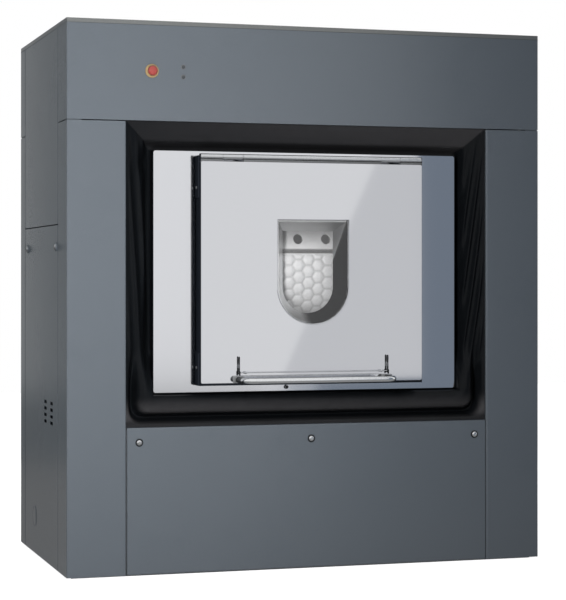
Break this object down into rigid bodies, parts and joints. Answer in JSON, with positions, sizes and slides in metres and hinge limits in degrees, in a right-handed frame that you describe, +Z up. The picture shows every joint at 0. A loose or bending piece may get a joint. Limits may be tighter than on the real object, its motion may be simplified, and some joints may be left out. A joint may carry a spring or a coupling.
{
  "type": "barrier washer",
  "caption": "Pass-through laundry washer that stands in a wall, with a door on each side and a horizontal drum that swings in a rubber bellows.",
  "frame": {"origin": "on the floor under the middle of the casing", "axes": "+Z up; -Y towards the unloading side seen in the picture; +X to the right as seen from that side"},
  "size_m": [1.46, 1.018, 1.6],
  "materials": {
    "paint": "satin iron grey paint",
    "stainless": "smooth stainless steel",
    "drum_steel": "polished perforated stainless steel",
    "bellows_rubber": "glossy black rubber",
    "frame_steel": "matt dark grey paint",
    "cast_iron": "machined and painted cast iron",
    "spring_steel": "black coated steel",
    "motor_paint": "blue painted finned housing",
    "glass": "flat toughened glass",
    "black_plastic": "moulded black plastic",
    "latch_steel": "steel levers with black grips",
    "stop_red": "moulded red plastic",
    "stop_yellow": "moulded yellow plastic",
    "lamp_lens": "clear lamp lens, unlit",
    "screen": "dark blank display",
    "start_green": "moulded green plastic"
  },
  "bodies": {
    "casing": {"base_frame": "frame_steel", "cabinet_frame": "frame_steel", "top_panel": "paint", "left_lower_side_panel": "paint", "left_upper_side_panel": "paint", "right_lower_side_panel": "paint", "right_upper_side_panel": "paint", "front_left_column": "paint", "front_right_column": "paint", "front_fascia": "paint", "front_service_panel": "paint", "front_bellows": "bellows_rubber", "rear_left_column": "paint", "rear_right_column": "paint", "rear_fascia": "paint", "rear_service_panel": "paint", "rear_bellows": "bellows_rubber", "front_estop_collar": "stop_yellow", "rear_estop_collar": "stop_yellow", "status_lamps": "lamp_lens", "control_bezel": "black_plastic", "display_screen": "screen", "front_left_spring": "spring_steel", "front_right_spring": "spring_steel", "rear_left_spring": "spring_steel", "rear_right_spring": "spring_steel", "front_damper_tube": "spring_steel", "rear_damper_tube": "spring_steel"},
    "tub_unit": {"outer_tub": "stainless", "tub_front_panel": "stainless", "tub_rear_panel": "stainless", "left_bearing": "cast_iron", "right_bearing": "cast_iron", "tub_cradle": "frame_steel", "motor": "motor_paint", "drive_belt": "bellows_rubber", "drain_valve": "black_plastic", "front_damper_rod": "stainless", "rear_damper_rod": "stainless"},
    "drum_unit": {"drum": "drum_steel", "drum_pulley": "cast_iron"},
    "motor_rotor": {"motor_pulley": "cast_iron"},
    "upper_flap": {"drum_upper_flap": "drum_steel"},
    "lower_flap": {"drum_lower_flap": "drum_steel"},
    "front_door": {"front_door_shell": "stainless", "front_door_window": "glass", "front_door_seal": "bellows_rubber", "front_hinge_rod": "stainless", "front_handle": "stainless"},
    "rear_door": {"rear_door_shell": "stainless", "rear_door_window": "glass", "rear_door_seal": "bellows_rubber", "rear_hinge_rod": "stainless", "rear_handle": "stainless"},
    "front_latch": {"front_latch": "latch_steel"},
    "rear_latch": {"rear_latch": "latch_steel"},
    "front_estop": {"front_estop_button": "stop_red"},
    "rear_estop": {"rear_estop_button": "stop_red"},
    "selector": {"selector_knob": "stainless"},
    "start": {"start_button": "start_green"}
  },
  "joints": [
    {"name": "tub_float", "type": "slide", "parent": "casing", "child": "tub_unit", "axis": [0, 0, 1], "range_m": [-0.01, 0.01], "stiffness_N_per_m": 60000, "springref_m": 0.05, "deforming": ["front_left_spring", "front_right_spring", "rear_left_spring", "rear_right_spring", "front_bellows", "rear_bellows"]},
    {"name": "drum_spin", "type": "hinge", "parent": "tub_unit", "child": "drum_unit", "pos_m": [0, 0, 0.8775], "axis": [1, 0, 0], "continuous": true},
    {"name": "motor_spin", "type": "hinge", "parent": "tub_unit", "child": "motor_rotor", "pos_m": [0.235, 0, 0.4203], "axis": [1, 0, 0], "continuous": true},
    {"name": "upper_flap_hinge", "type": "hinge", "parent": "drum_unit", "child": "upper_flap", "pos_m": [0, -0.19653, 1.10284], "axis": [1, 0, 0], "range_deg": [0, 70]},
    {"name": "lower_flap_hinge", "type": "hinge", "parent": "drum_unit", "child": "lower_flap", "pos_m": [0, -0.19653, 0.65216], "axis": [-1, 0, 0], "range_deg": [0, 70]},
    {"name": "front_door_hinge", "type": "hinge", "parent": "tub_unit", "child": "front_door", "pos_m": [0, -0.411, 1.211], "axis": [-1, 0, 0], "range_deg": [0, 95]},
    {"name": "rear_door_hinge", "type": "hinge", "parent": "tub_unit", "child": "rear_door", "pos_m": [0, 0.411, 1.211], "axis": [1, 0, 0], "range_deg": [0, 95]},
    {"name": "front_latch_turn", "type": "hinge", "parent": "front_door", "child": "front_latch", "pos_m": [0, -0.43, 0.584], "axis": [1, 0, 0], "range_deg": [0, 35]},
    {"name": "rear_latch_turn", "type": "hinge", "parent": "rear_door", "child": "rear_latch", "pos_m": [0, 0.43, 0.584], "axis": [-1, 0, 0], "range_deg": [0, 35]},
    {"name": "front_estop_press", "type": "slide", "parent": "casing", "child": "front_estop", "axis": [0, 1, 0], "range_m": [0, 0.005]},
    {"name": "rear_estop_press", "type": "slide", "parent": "casing", "child": "rear_estop", "axis": [0, -1, 0], "range_m": [0, 0.005]},
    {"name": "selector_turn", "type": "hinge", "parent": "casing", "child": "selector", "pos_m": [-0.345, 0.4063, 1.454], "axis": [0, -1, 0], "range_deg": [-135, 135]},
    {"name": "start_press", "type": "slide", "parent": "casing", "child": "start", "axis": [0, -1, 0], "range_m": [0, 0.004], "stiffness_N_per_m": 300}
  ],
  "couplings": [
    {"joint": "motor_spin", "follows": "drum_spin", "ratio": 4.7619}
  ]
}
